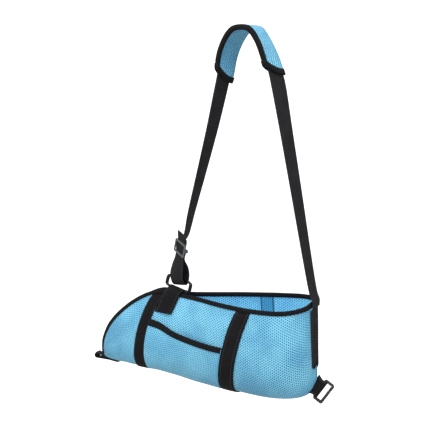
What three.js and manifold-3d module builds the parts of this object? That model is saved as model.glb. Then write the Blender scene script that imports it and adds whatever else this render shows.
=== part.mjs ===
// Arm sling: a mesh pouch for the forearm, hung from a webbing strap with a padded sleeve.
//
// Millimetres, +Z up.  +X runs along the pouch from the hand end to the elbow end, and the
// front panel faces -Y.  The origin is on the underside of the shoulder pad, at its crown.

import * as THREE from "three";
import Module from "manifold-3d";
import { mergeVertices } from "three/addons/utils/BufferGeometryUtils.js";

// ---- driving sizes ------------------------------------------------------------------------

const WEB_WIDTH = 32; // webbing
const WEB_THICK = 1.6;
const MESH_THICK = 3; // spacer mesh of the pouch
const TAPE_THICK = 0.9; // binding tape
const TAPE_COVER = 6.8; // how far a binding reaches in from the edge that it covers
const LAY = 0.6; // air left between fabrics that are sewn on each other
const TOUCH = 0.35; // air left between parts that meet
const PAD_LAY = 0.55; // air left between the pad and its binding

const PAD_HALF_WIDTH = 26; // shoulder pad, at its crown
const PAD_END_HALF_WIDTHS = [22, 19.7]; // at its elbow end and at its hand end
const PAD_LAYER = 2.7; // thickness of its mesh

const RING_WIRE = 5; // wrist ring
const RING_WIDTH = 57; // between wire centres
const RING_HEIGHT = 22;

const SLIDER_WIDTH = 41;
const SLIDER_HEIGHT = 26;
const SLIDER_BAR = 3.6;
const SLIDER_PLATE = 2;
const SLIDER_POST = 6; // height of the posts that hold its rear bar

const LOOP_WIDTH = 41; // rectangular loop at the elbow
const LOOP_DEPTH = 20;
const LOOP_BAR = 4.2;
const LOOP_THICK = 4;

// ---- colours ------------------------------------------------------------------------------

const MESH_BLUE = 0x7cc0e0;
const WEB_BLACK = 0x232325;
const TAPE_BLACK = 0x1b1b1d;
const PLASTIC_BLACK = 0x2a2a2c;
const GLOSS_BLACK = 0x121214;

const sling = new THREE.Group();
const wasm = await Module();
wasm.setup();

const vec = (x, y, z) => new THREE.Vector3(x, y, z);
const radians = THREE.MathUtils.degToRad;
const mix = THREE.MathUtils.lerp;
const smooth = THREE.MathUtils.smoothstep;

function add(name, geometry, color, roughness) {
  const material = new THREE.MeshStandardMaterial({ color, roughness, metalness: 0 });
  const mesh = new THREE.Mesh(geometry, material);
  mesh.name = name;
  sling.add(mesh);
  return mesh;
}

// ---- building closed solids ---------------------------------------------------------------

function signedVolume(points, faces) {
  let sum = 0;
  for (const [a, b, c] of faces) {
    sum += points[a].dot(points[b].clone().cross(points[c]));
  }
  return sum / 6;
}

function solid(points, faces) {
  const outward = signedVolume(points, faces) > 0;
  const index = faces.flatMap(([a, b, c]) => (outward ? [a, b, c] : [a, c, b]));
  const geometry = new THREE.BufferGeometry().setFromPoints(points);
  geometry.setIndex(index);
  geometry.computeVertexNormals();
  return geometry;
}

// A sheet with two faces.  place(u, v, side) gives a point of the upper (side 0) or the lower
// (side 1) face; rows and columns are the values of u and v.
function thickSheet(rows, columns, place) {
  const points = [];
  const faces = [];
  const at = (i, j, side) => (i * columns.length + j) * 2 + side;
  for (const u of rows) {
    for (const v of columns) {
      points.push(place(u, v, 0), place(u, v, 1));
    }
  }
  const quad = (a, b, c, d) => faces.push([a, b, c], [a, c, d]);
  const lastRow = rows.length - 1;
  const lastColumn = columns.length - 1;
  for (let i = 0; i < lastRow; i++) {
    for (let j = 0; j < lastColumn; j++) {
      quad(at(i, j, 0), at(i + 1, j, 0), at(i + 1, j + 1, 0), at(i, j + 1, 0));
      quad(at(i, j, 1), at(i, j + 1, 1), at(i + 1, j + 1, 1), at(i + 1, j, 1));
    }
    quad(at(i, 0, 0), at(i, 0, 1), at(i + 1, 0, 1), at(i + 1, 0, 0));
    const j = lastColumn;
    quad(at(i, j, 0), at(i + 1, j, 0), at(i + 1, j, 1), at(i, j, 1));
  }
  for (let j = 0; j < lastColumn; j++) {
    quad(at(0, j, 0), at(0, j + 1, 0), at(0, j + 1, 1), at(0, j, 1));
    const i = lastRow;
    quad(at(i, j, 0), at(i, j, 1), at(i, j + 1, 1), at(i, j + 1, 0));
  }
  return solid(points, faces);
}

// count + 1 evenly spaced values from a to b
function steps(a, b, count) {
  return Array.from({ length: count + 1 }, (_, i) => mix(a, b, i / count));
}

function toManifold(geometry) {
  const bare = geometry.clone();
  bare.deleteAttribute("normal");
  bare.deleteAttribute("uv");
  const merged = mergeVertices(bare, 1e-4);
  return new wasm.Manifold(
    new wasm.Mesh({
      numProp: 3,
      vertProperties: new Float32Array(merged.attributes.position.array),
      triVerts: new Uint32Array(merged.index.array),
    }),
  );
}

function fromManifold(body) {
  const mesh = body.getMesh();
  const geometry = new THREE.BufferGeometry();
  geometry.setAttribute("position", new THREE.BufferAttribute(mesh.vertProperties, 3));
  geometry.setIndex(new THREE.BufferAttribute(mesh.triVerts, 1));
  geometry.computeVertexNormals();
  return geometry;
}

function roundedRectangle(width, height, radius, shape = new THREE.Shape()) {
  const x = width / 2 - radius;
  const y = height / 2 - radius;
  shape.moveTo(x, -y - radius);
  shape.absarc(x, -y, radius, -Math.PI / 2, 0);
  shape.absarc(x, y, radius, 0, Math.PI / 2);
  shape.absarc(-x, y, radius, Math.PI / 2, Math.PI);
  shape.absarc(-x, -y, radius, Math.PI, Math.PI * 1.5);
  return shape;
}

// ---- pouch surface ------------------------------------------------------------------------

// One sheet folded along the bottom.  Each station goes from the rim of the front panel down
// to the fold and up to the rim of the back panel:
// [rim x, front rim z, back rim z, half the opening, fold x, fold z, half the girth's depth]
const STATIONS = [
  [-318, -633, -633, 7, -310, -646, 8],
  [-311, -603, -603, 14, -288, -648, 22],
  [-291, -567, -567, 19, -260, -649, 32],
  [-259, -534, -534, 19, -232, -650, 39],
  [-221, -507, -507, 15, -200, -650.5, 43],
  [-182, -492, -492, 9, -166, -652.5, 46],
  [-142, -495, -495, 6, -130, -656, 48],
  [-92, -496, -493, 16, -85, -661.5, 51],
  [-30, -497, -490, 35, -28, -666, 55],
  [40, -497, -486, 48, 40, -669, 58],
  [95, -494, -482, 47, 94, -665, 54],
  [127, -487, -479, 26, 129, -651, 29],
  [136.5, -478, -478, 3.4, 142.5, -622, 3.4],
];

const rail = (pick) => new THREE.CatmullRomCurve3(STATIONS.map(pick), false, "catmullrom", 0.5);
const lowerDepth = (depth) => 1.12 * depth;
const upperDepth = (open, depth) => 0.5 * open + 0.66 * depth;

// The control points of the section at u, for the front (side -1) or the back (side 1).
const frontRim = rail(([x, z, , open]) => vec(x, -open, z));
const backRim = rail(([x, , z, open]) => vec(x, open, z));
const fold = rail(([, , , , x, z]) => vec(x, 0, z));
const flank = rail(([x, z, , open, xFold, zFold, depth]) =>
  vec(mix(x, xFold, 0.4), upperDepth(open, depth), mix(z, zFold, 0.38)));
const belly = rail(([, , , , x, z, depth]) => vec(x, lowerDepth(depth), z));

// The sheet's middle surface.  v is -1 at the front rim, 0 at the fold and 1 at the back rim.
function onPouch(u, v) {
  const side = v < 0 ? -1 : 1;
  const rim = (v < 0 ? frontRim : backRim).getPoint(u);
  const upper = flank.getPoint(u);
  const lower = belly.getPoint(u);
  upper.y *= side;
  lower.y *= side;
  return new THREE.CubicBezierCurve3(fold.getPoint(u), lower, upper, rim).getPoint(Math.abs(v));
}

function pouchSlopes(u, v) {
  const d = 0.002;
  const u0 = Math.max(u - d, 0);
  const u1 = Math.min(u + d, 1);
  const v0 = Math.max(v - d, -1);
  const v1 = Math.min(v + d, 1);
  const along = onPouch(u1, v).sub(onPouch(u0, v)).divideScalar(u1 - u0);
  const across = onPouch(u, v1).sub(onPouch(u, v0)).divideScalar(v1 - v0);
  return { along, across, out: across.clone().cross(along).normalize() };
}

// A point that stands off the middle surface, outward for a positive height.
function offPouch(u, v, height) {
  return onPouch(u, v).addScaledVector(pouchSlopes(u, v).out, height);
}

// The (u, v) that lies a distance from (u, v) along the surface, square to the rim.
function inFromRim(u, v, distance) {
  const { along, across, out } = pouchSlopes(u, v);
  const inward = along.clone().cross(out).normalize();
  if (inward.dot(across) * Math.sign(v) > 0) {
    inward.negate();
  }
  inward.multiplyScalar(distance);
  const a = along.dot(along);
  const b = along.dot(across);
  const c = across.dot(across);
  const p = inward.dot(along);
  const q = inward.dot(across);
  const det = a * c - b * b;
  return [u + (p * c - q * b) / det, v + (q * a - p * b) / det];
}

// Closer rows where the panels turn in to the elbow seam.
const POUCH_ROWS = [...steps(0, 0.79, 21), ...steps(0.83, 1, 10)];
const POUCH_COLUMNS = steps(-1, 1, 24);
const SKIN = MESH_THICK / 2;

add(
  "pouch_panel",
  thickSheet(POUCH_ROWS, POUCH_COLUMNS, (u, v, side) => offPouch(u, v, side ? -SKIN : SKIN)),
  MESH_BLUE,
  0.7,
);

// ---- rim bindings -------------------------------------------------------------------------

const BINDING_END = 0.972; // the bindings stop under the elbow seam binding
const BINDING_ROWS = [...POUCH_ROWS.filter((u) => u < BINDING_END - 0.01), BINDING_END];

// A binding is a strip folded over the rim: up one face, over the edge, down the other.
function rimBinding(side) {
  return thickSheet(BINDING_ROWS, [0, 1, 2, 3], (u, corner, face) => {
    const skin = face ? 0 : TAPE_THICK;
    const height = (SKIN + LAY + skin) * (corner < 2 ? 1 : -1);
    if (corner === 0 || corner === 3) {
      const [uIn, vIn] = inFromRim(u, side, mix(3, TAPE_COVER, smooth(u, 0, 0.1)));
      return offPouch(uIn, vIn, height);
    }
    const { along, across, out } = pouchSlopes(u, side);
    const beyond = along.clone().cross(out).normalize();
    if (beyond.dot(across) * side < 0) {
      beyond.negate();
    }
    const rim = onPouch(u, side).addScaledVector(out, height);
    return rim.addScaledVector(beyond, TOUCH + skin);
  });
}

add("front_rim_binding", rimBinding(-1), TAPE_BLACK, 0.8);
add("back_rim_binding", rimBinding(1), TAPE_BLACK, 0.8);

// ---- webbing sewn round the pouch ---------------------------------------------------------

const WEB_FLOOR = SKIN + LAY; // under side of webbing that lies on the pouch
const OVER_TAPE = WEB_FLOOR + TAPE_THICK + LAY; // the same where it crosses a binding

// A band runs from rim to rim under the pouch: the u of its middle at the rim and at the fold.
const BAND_TOP = 0.955; // the v where a band goes under the rim bindings
const WRIST_BAND = { rim: 0.418, fold: 0.294, bend: 2.2, halfWidth: 13 };
const MIDDLE_BAND = { rim: 0.727, fold: 0.671, bend: 1.9, halfWidth: 16 };
const bandU = (band, v) => mix(band.fold, band.rim, Math.abs(v) ** band.bend);

function pouchBand(band) {
  const columns = POUCH_COLUMNS.filter((v) => Math.abs(v) < BAND_TOP - 0.01);
  return thickSheet([-BAND_TOP, ...columns, BAND_TOP], [-1, 0, 1], (v, across, face) => {
    const u = bandU(band, v);
    const { along } = pouchSlopes(u, v);
    const beside = u + (across * band.halfWidth) / along.length();
    return offPouch(beside, v, WEB_FLOOR + (face ? 0 : WEB_THICK));
  });
}

add("wrist_band", pouchBand(WRIST_BAND), WEB_BLACK, 0.85);
add("middle_band", pouchBand(MIDDLE_BAND), WEB_BLACK, 0.85);

// ---- pocket between the bands -------------------------------------------------------------

const POCKET_THICK = 2.4;
const POCKET_GAPE = 6; // how far the mouth of the pocket stands off the panel
const POCKET_MOUTH = [-0.735, -0.64]; // v at the wrist band and at the middle band
const POCKET_FOOT = -0.14;
const POCKET_RISE = TAPE_THICK + LAY; // room for the tape behind the mouth

// The place on the pocket: across runs from one band to the other, up from the foot.
function onPocket(across, up, height) {
  const v = mix(POCKET_FOOT, mix(...POCKET_MOUTH, across) + 0.03 * Math.sin(Math.PI * across), up);
  const beside = (band, side) => {
    const u = bandU(band, v);
    return u + (side * (band.halfWidth + 1)) / pouchSlopes(u, v).along.length();
  };
  const u0 = beside(WRIST_BAND, 1);
  const u1 = beside(MIDDLE_BAND, -1);
  const gape = POCKET_GAPE * Math.sin(Math.PI * across) * smooth(up, 0, 1);
  const rise = POCKET_RISE * smooth(up, 0, 0.7);
  return offPouch(mix(u0, u1, across), v, WEB_FLOOR + rise + gape + height);
}

const POCKET_COLUMNS = steps(0, 1, 12);
add(
  "pocket_panel",
  thickSheet(steps(0, 0.985, 8), POCKET_COLUMNS, (up, across, face) =>
    onPocket(across, up, face ? 0 : POCKET_THICK)),
  MESH_BLUE,
  0.7,
);

add(
  "pocket_binding",
  thickSheet([0, 1, 2, 3], POCKET_COLUMNS, (corner, across, face) => {
    const skin = face ? 0 : TAPE_THICK;
    const outer = corner < 2;
    const up = corner === 0 || corner === 3 ? 0.92 : 1 + (TOUCH + skin) / 90;
    const lift = outer ? POCKET_THICK + TOUCH + skin : -TOUCH - skin;
    return onPocket(across, up, lift);
  }),
  TAPE_BLACK,
  0.8,
);

// ---- ribbons ------------------------------------------------------------------------------

// A ribbon follows frames { at, wide, up }: a place, the direction of its width and of its face.
function ribbon(frames, halfWidth, thickness, columns = [-1, 1]) {
  const rows = frames.map((_, i) => i);
  return thickSheet(rows, columns, (i, across, face) => {
    const { at, wide, up } = frames[i];
      return at.clone()
      .addScaledVector(wide, across * halfWidth)
      .addScaledVector(up, face ? -thickness / 2 : thickness / 2);
  });
}

// The frame of a strap that runs along a direction with its width nearest to a wish.
function frame(at, along, wish) {
  const wide = wish.clone().addScaledVector(along, -wish.dot(along) / along.lengthSq()).normalize();
  return { at, wide, up: wide.clone().cross(along).normalize() };
}

// A level direction, turned from +X towards +Y.
const heading = (degrees) => vec(Math.cos(radians(degrees)), Math.sin(radians(degrees)), 0);

// ---- wrist ring and its tab ---------------------------------------------------------------

const RING_FOOT = vec(-147, -0.5, -488.5); // middle of the bar in the tab
const RING_ALONG = vec(0.97, -0.17, -0.19).normalize();
const RING_UP = frame(RING_FOOT, RING_ALONG, vec(0.42, 0.1, 0.89)).wide;
const RING_SQUARENESS = 0.42;

class RingPath extends THREE.Curve {
  getPoint(t) {
    const x = Math.cos(2 * Math.PI * t);
    const y = Math.sin(2 * Math.PI * t);
    const square = (c) => Math.sign(c) * Math.abs(c) ** RING_SQUARENESS;
    return RING_FOOT.clone()
      .addScaledVector(RING_ALONG, (square(x) * RING_WIDTH) / 2)
      .addScaledVector(RING_UP, ((1 + square(y)) * RING_HEIGHT) / 2);
  }
}

const ringTube = new THREE.TubeGeometry(new RingPath(), 48, RING_WIRE / 2, 8, true);
add("wrist_ring", fromManifold(toManifold(ringTube)), GLOSS_BLACK, 0.25);

const TAB_U = 0.486; // at the rim
const TAB_LEAN = 0.2; // how much u falls for a step of 1 in v
// Up the panel to the rim: [v, how far the tab stands off what is under it].
const TAB_STEPS = [[0.795, 0], [0.86, 0.2], [0.92, 1], [0.97, 2.9], [1, 3.7]];

function onTab(side, [v, lift]) {
  const u = TAB_U - TAB_LEAN * (1 - v);
  const { along, out } = pouchSlopes(u, side * v);
  const at = offPouch(u, side * v, OVER_TAPE + WEB_THICK / 2 + lift);
  return { at, wide: along.normalize(), up: out };
}

// Up over the front rim, round the ring's bar and down over the back rim.
function tabFrames() {
  const bar = RING_WIRE / 2 + 2 * TOUCH + WEB_THICK / 2;
  const over = frame(RING_FOOT, RING_ALONG, vec(0, 0, 1)).wide;
  const behind = over.clone().cross(RING_ALONG);
  const round = steps(165, 15, 8).map((degrees) => {
    const up = behind.clone().multiplyScalar(Math.cos(radians(degrees)));
    up.addScaledVector(over, Math.sin(radians(degrees)));
    return { at: RING_FOOT.clone().addScaledVector(up, bar), wide: RING_ALONG, up };
  });
  const front = TAB_STEPS.map((step) => onTab(-1, step));
  const back = TAB_STEPS.map((step) => onTab(1, step)).reverse();
  return [...front, ...round, ...back];
}
add("wrist_tab", ribbon(tabFrames(), WEB_WIDTH / 2, WEB_THICK), WEB_BLACK, 0.85);

// ---- shoulder strap -----------------------------------------------------------------------

const PAD_GAP = WEB_THICK / 2 + 0.8; // from the strap's middle to the mesh of the pad
const CROWN = PAD_GAP + PAD_LAYER; // height of the strap's middle, at the crown

// From the elbow seam over the shoulder to the slider: [place, heading of its width].
const ROUTE = [
  [vec(140, 0, -489.5), 90],
  [vec(139.5, 0, -477), 89],
  [vec(132.8, 0, -459), 87],
  [vec(118.5, -1, -386), 83],
  [vec(101.5, -4, -290), 77],
  [vec(82, -8, -180), 70],
  [vec(67, -10, -100), 62],
  [vec(58.5, -10, -70), 67],
  [vec(48, -9, -42), 75],
  [vec(36, -7, -19), 81],
  [vec(20, -4, CROWN - 4), 81],
  [vec(0, 0, CROWN), 78],
  [vec(-18, 4, CROWN - 5), 76],
  [vec(-34, 7, -20), 72],
  [vec(-46, 8, -48), 69],
  [vec(-51, 8, -80), 67],
  [vec(-57.5, 7, -110), 68],
  [vec(-74, 6, -178), 75],
  [vec(-96.5, 4.5, -262), 84],
  [vec(-117.5, 5, -335), 92],
  [vec(-125, 5.5, -365), 97],
  [vec(-130.5, 4.5, -386), 103],
];
const CROWN_STOP = 11;
const PAD_STOPS = [6.6, 15.4]; // the pad's two ends
const REST_HALF = 9; // the strap and the pad lie level this far each side of the crown

// Below that the strap goes down through the slider, round the ring and up again.
const SLIDER_AT = vec(-138, 0, -407);
const SLIDER_DOWN = vec(-0.24, 0.08, -0.96).normalize();
const SLIDER_HEADING = 148; // of the strap's width in the slider
const RING_HEADING = 166; // the same at the ring
const LOOP_FOOT = vec(-142, 2.5, -479.5); // lowest point of the strap's loop
const PLY = WEB_THICK / 2 + 0.25; // middle of each ply, from the middle of the two

// The loop from the side: [share of the way to its foot, how far behind its middle, how far
// it is still turned back towards the strap's own heading].
const LOOP_SIDE = [
  [-0.17, 3.4, 14], [-0.07, PLY, 0], [0.1, PLY, 0], [0.24, PLY, 0], [0.34, 2.8, 0],
  [0.5, 7.4, 0], [0.68, 10, 0], [0.84, 9.2, 0], [0.95, 5.5, 0], [1, 0, 0], [0.95, -5.3, 0],
  [0.84, -8.6, 0], [0.68, -8.8, 0], [0.5, -5, 0], [0.34, -2, 0], [0.22, -PLY, 0],
  [0.1, -PLY, 0], [-0.02, -PLY, 0], [-0.14, -PLY, 0], [-0.22, -1.8, 0], [-0.3, -3.4, 0],
  [-0.42, -4.8, 0],
];
const HANG_LENGTH = 74;
const SLIDER_SHARE = 0.24; // the strap keeps the slider's direction down to here
const RING_SHARE = 0.7; // and has the ring's from here

const hangLine = new THREE.QuadraticBezierCurve3(
  SLIDER_AT,
  SLIDER_AT.clone().addScaledVector(SLIDER_DOWN, HANG_LENGTH * 0.45),
  LOOP_FOOT,
);

function hangingFrame([share, back, turnedBack]) {
  const onLine = Math.max(share, 0);
  const middle = hangLine.getPoint(onLine);
  const down = hangLine.getTangent(onLine);
  middle.addScaledVector(down, Math.min(share, 0) * HANG_LENGTH);
  const turn = smooth(share, SLIDER_SHARE, RING_SHARE);
  const { wide, up } = frame(middle, down, heading(mix(SLIDER_HEADING, RING_HEADING, turn) - turnedBack));
  return { at: middle.addScaledVector(up, -back), wide };
}

const STRAP_STOPS = [
  ...ROUTE.map(([at, degrees]) => ({ at, wide: heading(degrees) })),
  ...LOOP_SIDE.map(hangingFrame),
];
const strapCurve = new THREE.CatmullRomCurve3(STRAP_STOPS.map((stop) => stop.at), false,
  "catmullrom", 0.5);
const strapWidth = new THREE.CatmullRomCurve3(STRAP_STOPS.map((stop) => stop.wide), false,
  "catmullrom", 0.5);

// The strap's frame at a stop, which may be a fraction between two stops.
function strapFrame(stop) {
  const t = stop / (STRAP_STOPS.length - 1);
  const at = strapCurve.getPoint(t);
  if (Math.abs(at.x) < REST_HALF && at.z > 0) {
    at.z = CROWN;
    return { at, wide: heading(ROUTE[CROWN_STOP][1]), up: vec(0, 0, 1) };
  }
  return frame(at, strapCurve.getTangent(t), strapWidth.getPoint(t));
}

const lastStop = STRAP_STOPS.length - 1;
const strapRows = [...steps(0, 6.5, 10), ...steps(6.75, 16, 37), ...steps(16.5, lastStop, 80)];
add("shoulder_strap", ribbon(strapRows.map(strapFrame), WEB_WIDTH / 2, WEB_THICK), WEB_BLACK, 0.85);

// ---- shoulder pad -------------------------------------------------------------------------

const SLEEVE = WEB_WIDTH / 2 + 1; // half the channel that the strap runs in
const PAD_CUT = 0.75; // how much shorter the front edge is than the back, in stops
const PAD_SEAM = 0.3; // half the air between the two layers at the front edge
const PAD_TAPE = 4.5; // how far the front edge's binding reaches in
const PAD_END_TAPE = 9; // the same at the ends
const PAD_LENGTH = 240;
const PAD_DROOP = 3; // how far the back fold hangs
const PAD_ROWS = steps(0, 1, 26);

function padHalf(along) {
  const bulge = Math.max(0, Math.sin(Math.PI * along)) ** 0.8;
  return mix(mix(...PAD_END_HALF_WIDTHS, along), PAD_HALF_WIDTH, bulge);
}

// A point of the pad: along from 0 to 1, a distance across it and a height over the strap.
function onPad(along, across, height) {
  const short = PAD_CUT * ((1 - across / padHalf(along)) / 2) ** 2;
  const { at, wide, up } = strapFrame(mix(PAD_STOPS[0] + short, PAD_STOPS[1] - short, along));
  const droop = PAD_DROOP * smooth(across, SLEEVE, padHalf(along)) ** 2;
  return at.addScaledVector(wide, across).addScaledVector(up, height - droop);
}

// The pad's section from its open front edge over the strap, round the back fold and under
// the strap to the front edge again: [across, height] of the inner and of the outer face.
function padSection(along) {
  const half = padHalf(along);
  const top = PAD_GAP + PAD_LAYER;
  const upper = [
    { inner: [-half, PAD_SEAM], outer: [-half, PAD_SEAM + PAD_LAYER] },
    { inner: [-SLEEVE, PAD_GAP], outer: [-SLEEVE, top] },
    { inner: [0, PAD_GAP], outer: [0, top] },
    { inner: [SLEEVE - 0.8, PAD_GAP], outer: [SLEEVE, top] },
    { inner: [half - PAD_LAYER, PAD_GAP * 0.5], outer: [half - PAD_LAYER * 0.35, top * 0.6] },
  ];
  const fold = { inner: [half - PAD_LAYER, 0], outer: [half, 0] };
  const under = upper.map(({ inner, outer }) => ({
    inner: [inner[0], -inner[1]],
    outer: [outer[0], -outer[1]],
  }));
  return [...upper, fold, ...under.reverse()];
}

function padSleeve() {
  const columns = padSection(0).map((_, i) => i);
  return thickSheet(PAD_ROWS, columns, (along, column, face) => {
    const { inner, outer } = padSection(along)[column];
    return onPad(along, ...(face ? inner : outer));
  });
}
add("pad_sleeve", padSleeve(), MESH_BLUE, 0.7);

// Tape folded over the two layers along the front edge.
function padEdgeBinding() {
  const corners = [[1, 1], [0, 1], [0, -1], [1, -1]]; // [how far in, upper or lower]
  return thickSheet(PAD_ROWS, [0, 1, 2, 3], (along, corner, face) => {
    const skin = PAD_LAY + (face ? 0 : TAPE_THICK);
    const [inside, level] = corners[corner];
    const half = padHalf(along);
    const rise = (PAD_GAP - PAD_SEAM) * Math.min(1, PAD_TAPE / (half - SLEEVE));
    const across = inside ? PAD_TAPE - half : -half - skin;
    const height = PAD_SEAM + PAD_LAYER + inside * rise + skin;
    return onPad(along, across, level * height);
  });
}
add("pad_edge_binding", padEdgeBinding(), TAPE_BLACK, 0.8);

// The pad's section at an end, from clear of the edge binding round the back fold and back.
function padEndSection(along) {
  const start = PAD_TAPE + 1.2;
  const section = padSection(along);
  const share = Math.min(1, start / (padHalf(along) - SLEEVE));
  const rise = share * (PAD_GAP - PAD_SEAM);
  const edge = ([across, height]) => [across + start, height + Math.sign(height) * rise];
  for (const stop of [section[0], section[section.length - 1]]) {
    stop.inner = edge(stop.inner);
    stop.outer = edge(stop.outer);
  }
  return section.filter((_, i) => i !== 1 && i !== section.length - 2);
}

// Tape round the end of the pad where the strap comes out.
function padEndBinding(end) {
  const rows = padEndSection(end).map((_, i) => i);
  return thickSheet(rows, [0, 1, 2], (i, corner, face) => {
    const skin = PAD_LAY + (face ? 0 : TAPE_THICK);
    const inwards = (corner === 0 ? PAD_END_TAPE : -skin) / PAD_LENGTH;
    const along = end === 0 ? inwards : 1 - inwards;
    const { inner, outer } = padEndSection(along)[i];
    const thick = Math.hypot(outer[0] - inner[0], outer[1] - inner[1]);
    const lift = corner === 2 ? TOUCH - thick : skin;
    const place = [0, 1].map((k) => outer[k] + ((outer[k] - inner[k]) / thick) * lift);
    return onPad(along, ...place);
  });
}
add("pad_elbow_end_binding", padEndBinding(0), TAPE_BLACK, 0.8);
add("pad_hand_end_binding", padEndBinding(1), TAPE_BLACK, 0.8);

// ---- placing flat parts -------------------------------------------------------------------

// Turns a geometry drawn in x, y and z into a frame of those three directions.
function inFrame(geometry, at, x, y, z) {
  return geometry.applyMatrix4(new THREE.Matrix4().makeBasis(x, y, z).setPosition(at));
}

function plate(shape, from, to) {
  const options = { depth: to - from, bevelEnabled: false, curveSegments: 4 };
  return new THREE.ExtrudeGeometry(shape, options).translate(0, 0, from);
}

function slab(width, height, from, to, x = 0) {
  return new THREE.BoxGeometry(width, height, to - from).translate(x, 0, (from + to) / 2);
}

// ---- slider -------------------------------------------------------------------------------

const SLOT_HALF = 2 * PLY + 0.2; // room for the two plies, each side of their middle

// A frame in front of the webbing, and a bar behind the webbing on two posts.
function sliderBody() {
  const front = roundedRectangle(SLIDER_WIDTH, SLIDER_HEIGHT, 3);
  const inside = [SLIDER_WIDTH - 2 * SLIDER_BAR, SLIDER_HEIGHT - 2 * SLIDER_BAR];
  front.holes.push(roundedRectangle(inside[0], inside[1], 1, new THREE.Path()));
  let body = toManifold(plate(front, SLOT_HALF, SLOT_HALF + SLIDER_PLATE));
  const depth = SLOT_HALF + SLIDER_PLATE;
  const post = SLIDER_BAR - 0.6;
  const postX = SLIDER_WIDTH / 2 - 0.6 - post / 2;
  const pieces = [
    slab(post, SLIDER_POST, -depth, depth - 0.3, postX),
    slab(post, SLIDER_POST, -depth, depth - 0.3, -postX),
    slab(2 * postX, SLIDER_POST - 1, -depth, -SLOT_HALF),
  ];
  for (const piece of pieces) {
    body = body.add(toManifold(piece));
  }
  return fromManifold(body);
}
const sliderTurn = frame(SLIDER_AT, SLIDER_DOWN, heading(SLIDER_HEADING));
add("slider", inFrame(sliderBody(), SLIDER_AT, sliderTurn.wide, SLIDER_DOWN, sliderTurn.up),
  PLASTIC_BLACK, 0.45);

// ---- elbow seam binding -------------------------------------------------------------------

const SEAM_REACH = 14; // how far it covers each panel
const SEAM_FOOT = 0.38; // v where it ends
const SEAM_HEAD = 0.93; // v under the end of the strap
const SEAM_EDGE = 0.001; // just each side of the seam itself
const SEAM_COLUMNS = [-1, -0.66, -0.33, -SEAM_EDGE, SEAM_EDGE, 0.33, 0.66, 1];

// The binding folds round the seam where the two panels meet at the elbow.
function onSeam(column, v, skin) {
  const side = Math.sign(column);
  const reach = SEAM_REACH * Math.abs(column);
  const { along, out } = pouchSlopes(1, side * v);
  if (reach < 1) {
    return onPouch(1, side * v)
      .addScaledVector(out, OVER_TAPE + skin)
      .addScaledVector(along.normalize(), TOUCH + skin);
  }
  return offPouch(1 - reach / along.length(), side * v, OVER_TAPE + skin);
}

function seamBinding() {
  const rows = [SEAM_FOOT, ...POUCH_COLUMNS.filter((v) => v > SEAM_FOOT + 0.02 && v < SEAM_HEAD)];
  return thickSheet(rows, SEAM_COLUMNS, (v, column, face) =>
    onSeam(column, v, face ? 0 : WEB_THICK));
}
add("elbow_seam_binding", seamBinding(), WEB_BLACK, 0.85);

// A fold of webbing that closes the lower end of the seam binding.
function seamEnd() {
  const rows = [SEAM_FOOT - 0.045, SEAM_FOOT - 0.008];
  return thickSheet(rows, [-0.5, -0.33, -SEAM_EDGE, SEAM_EDGE, 0.33, 0.5], (v, column, face) =>
    onSeam(column, v, face ? -1 : WEB_THICK));
}
add("seam_end_tack", seamEnd(), TAPE_BLACK, 0.8);

// ---- waist loop on its tab at the elbow ---------------------------------------------------

const LOOP_AT = vec(155.5, 4, -646); // middle of the rectangular loop
const LOOP_OUT = vec(0.79, 0.2, -0.58).normalize(); // away from the pouch
const LOOP_ALONG = frame(LOOP_AT, LOOP_OUT, vec(-0.35, -0.3, -0.85)).wide;
const LOOP_UP = LOOP_ALONG.clone().cross(LOOP_OUT).normalize();

function elbowLoop() {
  const shape = roundedRectangle(LOOP_WIDTH, LOOP_DEPTH, 3.5);
  const slot = [LOOP_WIDTH - 2 * LOOP_BAR, LOOP_DEPTH - 2 * LOOP_BAR];
  shape.holes.push(roundedRectangle(slot[0], slot[1], 1, new THREE.Path()));
  const geometry = plate(shape, -LOOP_THICK / 2, LOOP_THICK / 2);
  return inFrame(geometry, LOOP_AT, LOOP_ALONG, LOOP_OUT, LOOP_UP);
}
add("elbow_loop", elbowLoop(), PLASTIC_BLACK, 0.45);

const LOOP_HINGE = (LOOP_BAR - LOOP_DEPTH) / 2; // the inner bar, from the loop's middle
const TAB_ROUND = Math.hypot(LOOP_BAR, LOOP_THICK) / 2 + TOUCH + WEB_THICK / 2;
const TAB_NECK = -6.5; // where the two plies of the tab come together
const TAB_FOOT = -11.5; // where they end, against the pouch
const TAB_SCOOP = 4.5; // how much shorter they are in the middle, over the pouch's corner
const TAB_FLARE = 4; // how much wider they are at each side there

// The tab runs out from the pouch, round the inner bar and back.
function elbowTab() {
  const bar = LOOP_AT.clone().addScaledVector(LOOP_OUT, LOOP_HINGE);
  const ply = (out, level, lift) => ({ out, up: level * (PLY + lift), normal: [0, level] });
  const round = steps(125, -125, 10).map((degrees) => {
    const normal = [Math.cos(radians(degrees)), Math.sin(radians(degrees))];
    return { out: TAB_ROUND * normal[0], up: TAB_ROUND * normal[1], normal };
  });
  const rows = [
    ply(TAB_FOOT, 1, 0), ply(TAB_NECK, 1, 0.5),
    ...round,
    ply(TAB_NECK, -1, 0.5), ply(TAB_FOOT, -1, 0),
  ];
  return thickSheet(rows, [-1, -0.5, 0, 0.5, 1], (row, across, face) => {
    const scoop = row.out === TAB_FOOT ? TAB_SCOOP * (1 - across ** 2) : 0;
    const halfWidth = WEB_WIDTH / 2 + (row.out === TAB_FOOT ? TAB_FLARE : 0);
    const half = face ? -WEB_THICK / 2 : WEB_THICK / 2;
    return bar.clone()
      .addScaledVector(LOOP_ALONG, across * halfWidth)
      .addScaledVector(LOOP_OUT, row.out + scoop + row.normal[0] * half)
      .addScaledVector(LOOP_UP, row.up + row.normal[1] * half);
  });
}
add("elbow_tab", elbowTab(), WEB_BLACK, 0.85);

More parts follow.
